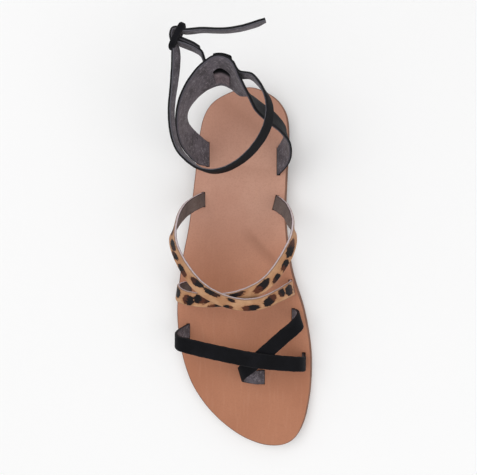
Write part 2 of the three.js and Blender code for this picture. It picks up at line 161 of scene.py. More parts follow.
# Straps, a row for each place where one bends: its share of the sole's length from the heel, its share of
# the ball width towards the inner side, its share of the strap's rise, and the compass direction and the
# lift of its width in degrees.
UPPER_INSTEP = [
    (0.311, -0.323, 0, 90, 0),
    (0.322, -0.365, 0.235, 89, 4),
    (0.345, -0.427, 0.525, 86, 12),
    (0.379, -0.465, 0.789, 72, 38),
    (0.416, -0.481, 0.947, 22, 55),
    (0.465, -0.440, 1, 14, 47),
    (0.539, -0.306, 0.967, 37, 34),
    (0.576, -0.162, 0.845, 62, 34),
    (0.592, 0.002, 0.792, 84, 35),
    (0.588, 0.136, 0.747, 103, 35),
    (0.572, 0.250, 0.579, 110, 34),
    (0.560, 0.323, 0.368, 104, 20),
    (0.556, 0.352, 0.158, 101, 8),
    (0.556, 0.344, 0, 100, 0),
]
LOWER_INSTEP = [
    (0.321, 0.227, 0, 76, 0),
    (0.331, 0.267, 0.236, 77, 12),
    (0.348, 0.315, 0.526, 69, 36),
    (0.376, 0.350, 0.789, 56, 60),
    (0.407, 0.370, 0.921, 141, 72),
    (0.455, 0.331, 0.948, 147, 50),
    (0.530, 0.189, 0.868, 124, 40),
    (0.562, 0.051, 0.812, 105, 34),
    (0.577, -0.085, 0.792, 92, 32),
    (0.584, -0.232, 0.706, 85, 20),
    (0.582, -0.370, 0.632, 79, 17),
    (0.576, -0.468, 0.487, 77, 12),
    (0.567, -0.505, 0.316, 80, 12),
    (0.563, -0.483, 0.145, 84, 6),
    (0.563, -0.439, 0, 90, 0),
]
TOE = [
    (0.685, -0.452, 0, 90, 0),
    (0.690, -0.485, 0.320, 89, 1),
    (0.698, -0.509, 0.640, 88, 6),
    (0.704, -0.478, 0.860, 88, 4),
    (0.710, -0.392, 0.970, 80, 0),
    (0.724, -0.192, 1.030, 80, 0),
    (0.742, 0.087, 1.020, 83, 0),
    (0.750, 0.274, 0.920, 87, 0),
    (0.756, 0.398, 0.730, 89, 0),
    (0.761, 0.441, 0.440, 90, 0),
    (0.760, 0.438, 0, 90, 0),
]
THONG = [
    (0.811, 0.129, 0, 90, 0),
    (0.807, 0.078, 0.220, 94, 0),
    (0.800, 0.012, 0.400, 102, 0),
    (0.793, -0.022, 0.560, 106, 0),
    (0.781, -0.006, 0.740, 113, 0),
    (0.753, 0.078, 0.860, 130, 0),
    (0.712, 0.201, 0.890, 134, 0),
    (0.679, 0.301, 0.840, 135, 4),
    (0.655, 0.381, 0.720, 128, 10),
    (0.641, 0.412, 0.500, 110, 6),
    (0.636, 0.393, 0.220, 97, 3),
    (0.636, 0.359, 0, 90, 0),
]

# The heel piece has its width as a sixth column, a share of its greatest width.
HEEL_PIECE = [
    (0.185, -0.288, 0, -90, 0, 0.512),
    (0.178, -0.332, 0.103, -94, 4, 0.581),
    (0.160, -0.380, 0.256, -96, 22, 0.591),
    (0.141, -0.403, 0.397, -99, 40, 0.606),
    (0.116, -0.396, 0.526, -105, 58, 0.636),
    (0.085, -0.360, 0.628, -129, 78, 0.697),
    (0.053, -0.289, 0.702, 162, 83, 0.806),
    (0.026, -0.195, 0.756, 92, 77, 0.925),
    (0.014, -0.100, 0.777, 81, 73, 1),
    (0.024, -0.027, 0.766, 68, 72, 0.960),
    (0.048, 0.025, 0.714, 63, 78, 0.811),
    (0.065, 0.079, 0.654, -80, 82, 0.636),
    (0.091, 0.139, 0.593, -100, 66, 0.585),
    (0.115, 0.226, 0.500, -107, 62, 0.561),
    (0.138, 0.297, 0.359, -97, 68, 0.546),
    (0.160, 0.320, 0.231, -62, 60, 0.546),
    (0.183, 0.306, 0.118, -70, 32, 0.554),
    (0.207, 0.248, 0, -90, 0, 0.569),
]
TOP_ROW = 8.25

# The ankle strap: place and height as above, the compass direction of its outer face, and how far its
# upper edge leans that way, in degrees.
ANKLE_RING = [
    (0.037, 0.116, 0.859, 43, 8),
    (0.062, 0.178, 0.846, 34, 0),
    (0.093, 0.220, 0.837, 15, -16),
    (0.127, 0.226, 0.828, -6, -24),
    (0.159, 0.202, 0.821, -23, -24),
    (0.188, 0.156, 0.813, -36, -20),
    (0.216, 0.089, 0.805, -47, -16),
    (0.237, 0.013, 0.799, -59, -11),
    (0.251, -0.070, 0.795, -73, -8),
    (0.255, -0.153, 0.795, -94, -4),
    (0.247, -0.232, 0.797, -116, 3),
    (0.228, -0.303, 0.805, -132, 8),
    (0.203, -0.362, 0.815, -150, 9),
    (0.171, -0.394, 0.831, -167, 8),
    (0.135, -0.405, 0.849, -178, 7),
    (0.101, -0.402, 0.867, 175, 7),
    (0.068, -0.388, 0.885, 172, 9),
    (0.030, -0.373, 0.900, 173, 16),
    (-0.002, -0.365, 0.908, 178, 20),
    (-0.027, -0.366, 0.910, 182, 18),
    (-0.044, -0.374, 0.917, 188, 12),
    (-0.059, -0.382, 0.923, 178, 8),
    (-0.069, -0.370, 0.929, 127, 8),
    (-0.071, -0.340, 0.931, 84, 4),
    (-0.067, -0.298, 0.927, 86, -2),
    (-0.069, -0.197, 0.923, 90, -4),
    (-0.066, -0.055, 0.923, 90, -4),
    (-0.069, 0.041, 0.923, 99, -3),
    (-0.077, 0.136, 0.923, 106, -2),
    (-0.086, 0.206, 0.923, 109, 0),
]
ANKLE_STRAND = [
    (-0.018, -0.203, 0.878, 50, 8),
    (-0.029, -0.243, 0.885, 58, 8),
    (-0.036, -0.291, 0.897, 71, 8),
    (-0.043, -0.345, 0.910, 76, 6),
]
ANKLE_SHORT_END = [
    (-0.050, -0.330, 0.914, 66, 0),
    (-0.043, -0.290, 0.905, 66, 5),
    (-0.036, -0.250, 0.893, 60, 8),
    (-0.028, -0.216, 0.884, 54, 8),
]

# The knot: its middle, the compass direction of its length, its size, where its band starts and ends round
# it in degrees, and how far the band grows outwards, slips sideways, narrows, points its ends and spreads
KNOT_PLACE = (-0.057, -0.353, 0.920)
KNOT_TURN = 63
KNOT_LENGTH = 17.5
KNOT_HEIGHT = 12
KNOT_WIDTH = 4.2
KNOT_START = -110
KNOT_END = 262
KNOT_GROWTH = 0.35
KNOT_SLIP = 0.9
KNOT_NARROWING = 0.28
KNOT_POINTING = 0.85
KNOT_SPREAD = 0.9

# The tip of the loose end: its length and its width as a share of the strap's
TIP_LENGTH = 7
TIP_SHARE = 0.55

# Spots of the two instep straps, charted: distance along the strap, place across it, half length,
# half width, turn in degrees and how brown one end is, which is the near end where the number is negative.
UPPER_SPOTS = [
    (7, 0.8, 4.2, 2.8, 10, 0.6),
    (20, -1.8, 4.8, 2.7, -12, -0.9),
    (29, 2.9, 2.6, 1.8, 0, 0.3),
    (39.9, 0.4, 5, 3.4, 14, 0.7),
    (51.6, 0.6, 3.6, 3, 0, 0.2),
    (58.6, -1.8, 3, 2.3, 20, -0.4),
    (69, -2.4, 4.3, 2.4, -8, 0.8),
    (80.7, 2, 4.7, 2.5, 12, -0.4),
    (93.4, 3.1, 5.4, 2.2, 4, 0.3),
    (106.9, -3.4, 2.6, 1.5, 0, 0.9),
    (107.8, 3.2, 2.4, 1.3, -12, 0.2),
    (121.1, -2.2, 4.9, 2.5, 6, -0.9),
    (134.6, 0.2, 5.2, 3.1, 24, 0.8),
    (144.8, 1.4, 2.5, 3, 10, -0.3),
    (152.6, 0.2, 4.2, 3.5, 0, 0.2),
    (163, -1.2, 3.4, 2.8, 30, 0.6),
]
LOWER_SPOTS = [
    (8, -0.6, 4.4, 2.8, -10, 0.6),
    (21, 1.6, 4.6, 2.8, 10, -0.8),
    (35, -1.4, 5.4, 2.8, 8, 0.7),
    (52.2, 0.6, 5.8, 3.3, -12, -0.6),
    (63.4, -2.2, 3.8, 2.3, -16, 0.8),
    (73.4, -2.8, 3.2, 2.1, -10, 0.4),
    (84.2, 0.6, 6.3, 2.8, -10, 1),
    (102.3, 2.9, 4.8, 1.6, 0, -0.3),
    (117, -3.9, 5.2, 1.1, -3, 1),
    (123.4, 0.8, 3.4, 1.2, -40, 0.4),
    (129.3, 1, 4.1, 3.1, 0, -0.8),
    (138, -0.9, 4.2, 3.3, 12, 0.8),
    (149.8, 1, 4, 3.2, 0, 0.2),
    (161, -0.8, 3.6, 2.8, 20, -0.5),
]


# Curves
NO_LENGTH = 1e-12
SHORTEST_STEP = 1e-4


def smooth_step(start, end, value):
    share = np.clip((value - start) / (end - start), 0, 1)
    return share * share * (3 - 2 * share)


def unit(vectors):
    return vectors / np.maximum(np.linalg.norm(vectors, axis=-1, keepdims=True), NO_LENGTH)


def lengths_along(line):
    """The distance travelled along a line at each of its points."""
    return np.concatenate([[0], np.cumsum(np.linalg.norm(np.diff(line, axis=0), axis=1))])


def spline(points, places, even=False):
    """Points of a Catmull-Rom curve, at places that count its own points from 0.

    The even form takes all its points as equally far apart, and the other form is the centripetal one.
    """
    points = np.array(points, float)
    last = len(points) - 1
    padded = np.vstack([2 * points[0] - points[1], points, 2 * points[-1] - points[-2]])
    places = np.clip(np.atleast_1d(places), 0, last)
    index = np.minimum(places.astype(int), last - 1)
    share = (places - index)[:, None]
    before, start, end, after = (padded[index + k] for k in range(4))
    if even:
        leave = (end - before) / 2
        arrive = (after - start) / 2
    else:
        first, middle, final = (np.maximum(np.sqrt(np.linalg.norm(b - a, axis=1)), SHORTEST_STEP)[:, None]
                                for a, b in ((before, start), (start, end), (end, after)))
        leave = (start - before) / first - (end - before) / (first + middle) + (end - start) / middle
        arrive = (end - start) / middle - (after - start) / (middle + final) + (after - end) / final
        leave, arrive = leave * middle, arrive * middle
    square = -3 * start + 3 * end - 2 * leave - arrive
    cube = 2 * start - 2 * end + leave + arrive
    return start + leave * share + square * share**2 + cube * share**3


# Heights of the sole at a distance along the shoe
def underside(y):
    arch_start = HEEL_REACH - HEEL_LIFT_LENGTH - ARCH_GAP
    heel = HEEL_LIFT_HEIGHT + CLEARANCE
    spring_start = HEEL_REACH - SOLE_LENGTH + TOE_SPRING_LENGTH
    spring = np.maximum(0, (spring_start - y) / TOE_SPRING_LENGTH)
    return heel * smooth_step(arch_start - ARCH_LENGTH, arch_start, y) + TOE_SPRING * spring**2


def outsole_top(y):
    return underside(y) + OUTSOLE_THICKNESS


def footbed_bottom(y):
    return outsole_top(y) + CLEARANCE


def footbed_top(y):
    return footbed_bottom(y) + FOOTBED_THICKNESS


# Paths of the straps
ROW_STEP = 0.02
FINE_ROWS = 60


class Path:
    """The middle line of a strap, with the direction and the size of its width, by row of its table."""

    def __init__(self, centres, acrosses, width):
        self.centres = centres
        self.acrosses = acrosses
        self.last = len(self.centres) - 1
        self.width = width

    def centre(self, rows):
        return spline(self.centres, rows)

    def across(self, rows):
        return unit(spline(self.acrosses, rows, even=True))

    def along(self, rows):
        rows = np.atleast_1d(rows)
        ahead = self.centre(np.minimum(self.last, rows + ROW_STEP))
        return unit(ahead - self.centre(np.maximum(0, rows - ROW_STEP)))

    def face(self, rows):
        return unit(np.cross(self.along(rows), self.across(rows)))

    def at(self, rows, up, out=0):
        """Places at a distance up the strap's width and out of its face."""
        return (self.centre(rows) + self.across(rows) * np.reshape(up, (-1, 1))
                + self.face(rows) * np.reshape(out, (-1, 1)))

    def even_rows(self, spacing):
        """Row numbers that lie evenly along the strap."""
        fine = np.linspace(0, self.last, FINE_ROWS * self.last + 1)
        travelled = lengths_along(self.centre(fine))
        count = max(2, int(round(travelled[-1] / spacing)))
        return np.interp(np.linspace(0, travelled[-1], count + 1), travelled, fine)


def directions(turn, lift):
    """Directions of length one, from a compass direction and a lift above level in degrees."""
    turn, lift = np.radians(turn), np.radians(lift)
    return np.stack([np.cos(lift) * np.cos(turn), np.cos(lift) * np.sin(turn), np.sin(lift)], -1)


def strap_path(table, rise, width):
    """The path of a table, with a function that gives the strap's width by row."""
    along, across, height, turn, lift = np.array([row[:5] for row in table]).T
    y = HEEL_REACH - along * SOLE_LENGTH
    centres = np.stack([across * BALL_WIDTH, y, footbed_top(y) + height * rise], 1)
    return Path(centres, directions(turn, lift), width)


def constant(value):
    return lambda rows: np.full(np.shape(rows), value)


upper_instep = strap_path(UPPER_INSTEP, INSTEP_RISE, constant(INSTEP_STRAP_WIDTH))
lower_instep = strap_path(LOWER_INSTEP, INSTEP_RISE, constant(INSTEP_STRAP_WIDTH))
toe_strap = strap_path(TOE, TOE_RISE, constant(TOE_STRAP_WIDTH))
thong_strap = strap_path(THONG, TOE_RISE, constant(THONG_STRAP_WIDTH))


def heel_width(rows):
    shares = [[row[5]] for row in HEEL_PIECE]
    return spline(shares, rows, even=True)[:, 0] * HEEL_PIECE_WIDTH


heel_wall = strap_path(HEEL_PIECE, HEEL_PIECE_HEIGHT, heel_width)

# Places on the heel piece at its top row: up from its middle line, and out from its middle surface
OUTSIDE = -1
TOP_ROW_LENGTH = np.linalg.norm(heel_wall.centre(TOP_ROW - 0.5) - heel_wall.centre(TOP_ROW + 0.5))
SLIT_UP = HEEL_PIECE_WIDTH / 2 - SLIT_DROP
SEWN_UP = HEEL_PIECE_WIDTH / 2 - KEEPER_DROP
STRAP_OUT = STRAP_THICKNESS + CLEARANCE + STRAP_SLACK
STRAP_UP = SLIT_UP + KEEPER_THICKNESS + CLEARANCE + ANKLE_STRAP_WIDTH / 2 + STRAP_GAP
SEWN_OUT = (STRAP_THICKNESS + KEEPER_THICKNESS) / 2 - SEWN_DEPTH
KEEPER_REACH = STRAP_OUT + STRAP_THICKNESS / 2 + CLEARANCE + KEEPER_THICKNESS / 2

# Where the keeper's pale tongue starts, along the keeper
TONGUE_START = SEWN_UP - SLIT_UP + KEEPER_SWING


# Meshes
SQUARE = ((-1, -1), (1, -1), (1, 1), (-1, 1))
GRAIN, EDGE, FLESH = 0, 1, 2
CORNER_ANGLES = np.radians([25, 50, 75, 90])
RIM_ANGLES = np.radians([0, 30, 60, 90])
SHARP_ANGLE = math.radians(50)
STRAP_ROUNDING = 0.5
FOOTBED_ROUNDING = 0.7
OUTSOLE_ROUNDING = 0.5
HEEL_LIFT_ROUNDING = 0.4

# Waves of a cut edge: length, share of the whole unevenness and how the seed shifts them
WAVES = ((9.1, 0.5, 2.1), (5.3, 0.3, 3.1), (2.7, 0.2, 4.1))
UNEVENNESS = 0.12
OTHER_EDGE = 4

# This power makes a spot's outline squarer than an ellipse.
SPOT_POWER = 2.3

# How finely the shapes are divided
OUTLINE_STEPS = 2000
SOLE_ROWS = 150
SOLE_COLUMNS = 20
KEEPER_STEPS = 6
KEEPER_COLUMNS = 15
SLIT_COLUMNS = 17
KNOT_ROWS = 72
KNOT_COLUMNS = 9


def waver(places, seed):
    """A slow, small unevenness along a cut edge."""
    return UNEVENNESS * sum(share * np.sin(places / length * 2 * math.pi + seed * shift)
                            for length, share, shift in WAVES)


def new_object(name, vertices, faces, materials, kinds=None, vectors=None):
    mesh = bpy.data.meshes.new(name)
    mesh.from_pydata((np.asarray(vertices) * MM).tolist(), [], faces)
    for material in materials:
        mesh.materials.append(material)
    if kinds:
        mesh.polygons.foreach_set("material_index", kinds)
    for key, values in (vectors or {}).items():
        attribute = mesh.attributes.new(key, "FLOAT_VECTOR", "POINT")
        attribute.data.foreach_set("vector", np.asarray(values, np.float32).ravel())
    mesh.update()
    mesh.shade_smooth()
    mesh.set_sharp_from_angle(angle=SHARP_ANGLE)
    made = bpy.data.objects.new(name, mesh)
    bpy.context.scene.collection.objects.link(made)
    return made


def slab(grid, thickness, rounding, grain_side=1):
    """A sheet of leather with rounded cut edges, from a grid of points on its middle surface.

    Rows run along the strap and columns across it. Returns vertices, faces, the kind of each face and,
    for each vertex, its place along and across the strap and its depth from the flesh to the grain.
    """
    rows, columns = grid.shape[:2]
    run = np.gradient(grid, axis=0)
    side = np.gradient(grid, axis=1)
    normal = unit(np.cross(run, side))
    travelled = lengths_along(grid[:, columns // 2])
    offsets = np.array([lengths_along(row) for row in grid])
    offsets -= offsets[:, -1:] / 2
    half = thickness / 2
    first, second = (GRAIN, FLESH) if grain_side > 0 else (FLESH, GRAIN)
    ring, kinds, places = [], [], []

    def add(position, kind, offset, depth):
        ring.append(position)
        kinds.append(kind)
        places.append(np.stack([travelled, offset, np.full(rows, depth * grain_side)], 1))

    def edge(column, direction, sign):
        """The rounded edge at a column, from the side that the sign gives to the other one."""
        offset = offsets[:, column] + np.sign(offsets[:, column]) * rounding
        corner = [(rounding * math.sin(angle), sign * (half - rounding + rounding * math.cos(angle)))
                  for angle in CORNER_ANGLES]
        for out, depth in corner + [(rounding, 0)] + [(out, -depth) for out, depth in reversed(corner)]:
            add(grid[:, column] + direction * out + normal[:, column] * depth, EDGE, offset, depth)

    for j in range(columns):
        add(grid[:, j] + normal[:, j] * half, first, offsets[:, j], half)
    edge(columns - 1, unit(side[:, -1]), 1)
    for j in reversed(range(columns)):
        add(grid[:, j] - normal[:, j] * half, second, offsets[:, j], -half)
    edge(0, -unit(side[:, 0]), -1)

    count = len(ring)
    vertices = np.stack(ring, 1).reshape(-1, 3)
    faces, face_kinds = [], []
    for j in range(count):
        following = (j + 1) % count
        kind = kinds[j] if kinds[j] == kinds[following] else EDGE
        for i in range(rows - 1):
            a, b = i * count, (i + 1) * count
            faces.append((a + j, b + j, b + following, a + following))
            face_kinds.append(kind)
    faces.append(tuple(range(count)))
    faces.append(tuple(reversed(range((rows - 1) * count, rows * count))))
    face_kinds += [EDGE, EDGE]
    return vertices, faces, face_kinds, np.stack(places, 1).reshape(-1, 3)


def strap_grid(path, spacing=0.7, columns=15, in_slots=True, seed=1.0):
    """Points on the middle surface of a strap, whose ends go down into slots or stay free."""
    rows = path.even_rows(spacing)
    centre, across = path.centre(rows), path.across(rows)
    half = path.width(rows) / 2 - STRAP_ROUNDING
    travelled = np.arange(len(rows)) * spacing
    left = half + waver(travelled, seed)
    right = half + waver(travelled, seed + OTHER_EDGE)
    shares = np.linspace(-1, 1, columns)
    spread = np.where(shares < 0, shares * left[:, None], shares * right[:, None])
    grid = centre[:, None, :] + across[:, None, :] * spread[:, :, None]
    if in_slots:
        drops = np.arange(1, 5) / 4 * SLOT_DEPTH
        first = [grid[0] - (0, 0, drop) for drop in drops[::-1]]
        last = [grid[-1] - (0, 0, drop) for drop in drops]
        grid = np.concatenate([first, grid, last])
    return grid


def spot_field(places, spots):
    """For each point: distance to the nearest spot's outline, brownness of the spot and place along it."""
    nearest = np.full(len(places), np.inf)
    brown = towards_end = np.zeros(len(places))
    for along, across, length, width, turn, brownness in spots:
        x = places[:, 0] - SLOT_DEPTH - along
        y = places[:, 1] - across
        angle = math.radians(turn)
        u = (x * math.cos(angle) + y * math.sin(angle)) / length
        v = (-x * math.sin(angle) + y * math.cos(angle)) / width
        reach = (np.abs(u)**SPOT_POWER + np.abs(v)**SPOT_POWER)**(1 / SPOT_POWER)
        distance = (reach - 1) * min(length, width)
        nearer = distance < nearest
        brown = np.where(nearer, abs(brownness), brown)
        towards_end = np.where(nearer, u * np.sign(brownness), towards_end)
        nearest = np.where(nearer, distance, nearest)
    return np.stack([nearest, brown, towards_end], 1)


def sheet_object(name, grid, thickness, rounding, materials, grain_side=1, spots=None):
    """A sheet of leather as an object, which keeps its places and spots for its materials."""
    vertices, faces, kinds, places = slab(grid, thickness, rounding, grain_side)
    vectors = {"strap": places}
    if spots:
        vectors["spots"] = spot_field(places, spots)
    return new_object(name, vertices, faces, materials, kinds, vectors)


def strap_object(name, path, materials, grain_side, spots=None, **options):
    grid = strap_grid(path, **options)
    return sheet_object(name, grid, STRAP_THICKNESS, STRAP_ROUNDING, materials, grain_side, spots)


def outline_sides(offset):
    """The two sides of the sole's outline, moved outwards by a distance, heel first."""
    fine = np.linspace(0, len(OUTLINE) - 1, OUTLINE_STEPS)
    turns = np.linspace(0, 1, SOLE_ROWS + 1)
    sides = []
    for column in (1, 2):
        points = spline([(row[0] / 180, row[column]) for row in OUTLINE], fine)
        x = np.interp(turns, points[:, 0], points[:, 1]) * BALL_WIDTH
        y = HEEL_REACH - SOLE_LENGTH * (1 - np.cos(turns * math.pi)) / 2
        sides.append(np.stack([x, y], 1))
    loop = np.vstack([sides[0], sides[1][-2:0:-1]])
    run = unit(np.roll(loop, -1, 0) - np.roll(loop, 1, 0))
    moved = loop + np.stack([run[:, 1], -run[:, 0]], 1) * offset
    outer = moved[:SOLE_ROWS + 1]
    inner = np.vstack([moved[:1], moved[:SOLE_ROWS:-1], outer[-1:]])
    return outer, inner


def cut_sides(outer, inner, end_y):
    """Both sides of an outline as far as a straight cut across it."""
    count = int(np.argmax(outer[:, 1] < end_y))
    cut = []
    for line in (outer, inner):
        before, after = line[count - 1], line[count]
        share = (before[1] - end_y) / (before[1] - after[1])
        cut.append(np.vstack([line[:count], before + (after - before) * share]))
    return cut


def rim_profile(rounding, bottom_at, top_at):
    """The rim from its top to its bottom: inset, rise and the height that this is measured from."""
    corner = [(rounding * (1 - math.sin(angle)), rounding * (1 - math.cos(angle))) for angle in RIM_ANGLES]
    return ([(inset, -rise, top_at) for inset, rise in corner]
            + [(inset, rise, bottom_at) for inset, rise in reversed(corner)])


def cover_rows(ring, pointed, vertices):
    """Rows of vertex numbers across a ring of the rim, with new vertices between its two sides."""
    start, count, outer, inner, height_at = ring
    rows = []
    for i in range(len(outer)):
        if i == 0 or (pointed and i == len(outer) - 1):
            rows.append([start + i])
            continue
        row = [start + i]
        for k in range(1, SOLE_COLUMNS):
            x, y = outer[i] + (inner[i] - outer[i]) * k / SOLE_COLUMNS
            vertices.append((x, y, height_at(y)))
            row.append(len(vertices) - 1)
        rows.append(row + [start + count - i])
    return rows


def cover_faces(upper, lower):
    """The faces between two rows, one of which may be a single vertex at a pointed end."""
    if len(upper) == 1:
        return [(upper[0], a, b) for a, b in zip(lower, lower[1:])]
    if len(lower) == 1:
        return [(a, lower[0], b) for a, b in zip(upper, upper[1:])]
    return [(upper[k], lower[k], lower[k + 1], upper[k + 1]) for k in range(len(upper) - 1)]


def sole_layer(name, offset, bottom_at, top_at, rounding, materials, end_y=None):
    """A layer of the sole: a top and a bottom of small faces, and a rim with rounded edges."""
    pointed = end_y is None
    vertices, rings = [], []
    for inset, rise, height_at in rim_profile(rounding, bottom_at, top_at):
        outer, inner = outline_sides(offset - inset)
        if not pointed:
            outer, inner = cut_sides(outer, inner, end_y)
        loop = np.vstack([outer, inner[-2:0:-1] if pointed else inner[:0:-1]])
        rings.append((len(vertices), len(loop), outer, inner, height_at))
        vertices += [(x, y, height_at(y) + rise) for x, y in loop]
    faces, kinds = [], []
    for (a, count, *_), (b, *_) in zip(rings, rings[1:]):
        for i in range(count):
            j = (i + 1) % count
            faces.append((a + i, b + i, b + j, a + j))
            kinds.append(EDGE)
    for ring, kind in ((rings[0], GRAIN), (rings[-1], FLESH)):
        rows = cover_rows(ring, pointed, vertices)
        for upper, lower in zip(rows, rows[1:]):
            cells = cover_faces(upper, lower)
            faces += cells if kind == GRAIN else [cell[::-1] for cell in cells]
            kinds += [kind] * len(cells)
    return new_object(name, vertices, faces, materials, kinds)


def copy_places(source, target):
    """Gives each vertex the place along and across the strap of the nearest vertex of another mesh."""
    if "strap" not in source.attributes:
        return
    tree = KDTree(len(source.vertices))
    for i, vertex in enumerate(source.vertices):
        tree.insert(vertex.co, i)
    tree.balance()
    places = source.attributes["strap"].data
    copies = target.attributes["strap"].data
    for i, vertex in enumerate(target.vertices):
        copies[i].vector = places[tree.find(vertex.co)[1]].vector


def subtract(target, cutters):
    """Cuts the shapes of the cutters out of the target and removes them."""
    for cutter in cutters:
        modifier = target.modifiers.new("cut", "BOOLEAN")
        modifier.operation = "DIFFERENCE"
        modifier.solver = "EXACT"
        modifier.object = cutter
    bpy.context.view_layer.update()
    cut = bpy.data.meshes.new_from_object(target.evaluated_get(bpy.context.evaluated_depsgraph_get()))
    target.modifiers.clear()
    old = target.data
    copy_places(old, cut)
    target.data = cut
    bpy.data.meshes.remove(old)
    for cutter in cutters:
        bpy.data.objects.remove(cutter)
    target.data.shade_smooth()
    target.data.set_sharp_from_angle(angle=SHARP_ANGLE)


# Materials
def colour(tone):
    """A colour from its display values of 0 to 255, or the node output that is given."""
    if isinstance(tone, bpy.types.NodeSocket):
        return tone
    shares = [value / 255 for value in tone]
    return [s / 12.92 if s <= 0.04045 else ((s + 0.055) / 1.055)**2.4 for s in shares] + [1]


SHEEN_ROUGHNESS = 0.45


class Look:
    """A material and short ways to add nodes to it."""

    def __init__(self, name, roughness, sheen=0, specular=0.5):
        self.material = bpy.data.materials.new(name)
        self.material.use_nodes = True
        self.tree = self.material.node_tree
        self.shader = self.tree.nodes["Principled BSDF"]
        for key, value in (("Roughness", roughness), ("Sheen Weight", sheen),
                           ("Sheen Roughness", SHEEN_ROUGHNESS), ("Specular IOR Level", specular)):
            self.shader.inputs[key].default_value = value

    def add(self, kind, inputs, output=0, **settings):
        made = self.tree.nodes.new("ShaderNode" + kind)
        for key, value in settings.items():
            setattr(made, key, value)
        for key, value in inputs.items():
            if isinstance(value, bpy.types.NodeSocket):
                self.tree.links.new(value, made.inputs[key])
            else:
                made.inputs[key].default_value = value
        return made.outputs[output]

    def place(self, stretch=(1, 1, 1)):
        """Object coordinates in millimetres, stretched."""
        found = self.add("TexCoord", {}, output="Object")
        return self.add("VectorMath", {0: found, 1: [s / MM for s in stretch]}, operation="MULTIPLY")

    def strap_place(self, stretch=(1, 1, 1)):
        """Place along and across the strap in millimetres, stretched."""
        found = self.add("Attribute", {}, output="Vector", attribute_name="strap")
        return self.add("VectorMath", {0: found, 1: stretch}, operation="MULTIPLY")

    def part(self, place, axis):
        """The X, Y or Z part of a place."""
        return self.add("SeparateXYZ", {0: place}, output="XYZ".index(axis))

    def noise(self, place, scale, detail=3, roughness=0.5):
        inputs = {"Vector": place, "Scale": scale, "Detail": detail, "Roughness": roughness}
        return self.add("TexNoise", inputs)

    def cells(self, place, scale):
        return self.add("TexVoronoi", {"Vector": place, "Scale": scale}, output="Distance")

    def range(self, value, low, high, to_low=0, to_high=1):
        return self.add("MapRange", {0: value, 1: low, 2: high, 3: to_low, 4: to_high},
                        interpolation_type="SMOOTHSTEP")

    def sum(self, first, second):
        return self.add("Math", {0: first, 1: second}, operation="ADD")

    def product(self, first, second):
        return self.add("Math", {0: first, 1: second}, operation="MULTIPLY")

    def swing(self, noise, middle, size):
        """A noise value moved to lie about zero and sized."""
        around_zero = self.add("Math", {0: noise, 1: middle}, operation="SUBTRACT")
        return self.product(around_zero, size)

    def dot(self, place, direction):
        return self.add("VectorMath", {0: place, 1: direction}, output="Value", operation="DOT_PRODUCT")

    def mix(self, share, first, second):
        return self.add("Mix", {0: share, 6: colour(first), 7: colour(second)}, output=2, data_type="RGBA")

    def tint(self, base, value, low, high, strength, tone):
        """A tone over a base, up to a strength, where a value has gone from low to high."""
        return self.mix(self.product(self.range(value, low, high), strength), base, tone)

    def paint(self, value):
        self.tree.links.new(value, self.shader.inputs["Base Color"])

    def gloss(self, value):
        self.tree.links.new(value, self.shader.inputs["Roughness"])

    def relief(self, *layers):
        """Bumps, each a height value and its depth in millimetres."""
        normal = None
        for height, depth in layers:
            inputs = {"Height": height, "Distance": depth * MM, "Strength": 1.0}
            if normal is not None:
                inputs["Normal"] = normal
            normal = self.add("Bump", inputs)
        self.tree.links.new(normal, self.shader.inputs["Normal"])


# Where the footbed's colour turns along Y from one tone to the next: at the forefoot, toe and heel. The
# forefoot's tone is partly the leather's own and partly painted light that lifts the shade between the
# straps; the toe's is partly its own and partly painted shade.
FOREFOOT_TONE_AND_PAINTED_LIGHT = (-52, -112)
TOE_TONE_AND_PAINTED_SHADE = (-132, -172)
HEEL_TONE = (-10, 22)

# Soft darker bands of painted shade on the footbed, where the straps shade it: turn from the inner side
# towards the toes in degrees, place of the sharper edge across the band, width, start and end along the
# band, and strength.
FOOTBED_SHADE_BANDS = [
    (46.9, -46, 10, 52, 88, 0.38),
    (38, 9, 14, -30, 12, 0.2),
    (60, -98, 16, 92, 128, 0.18),
    (10, -24, 14, -15, 30, 0.16),
]
SHARP_EDGE = 2.2
SOFT_ENDS = 8


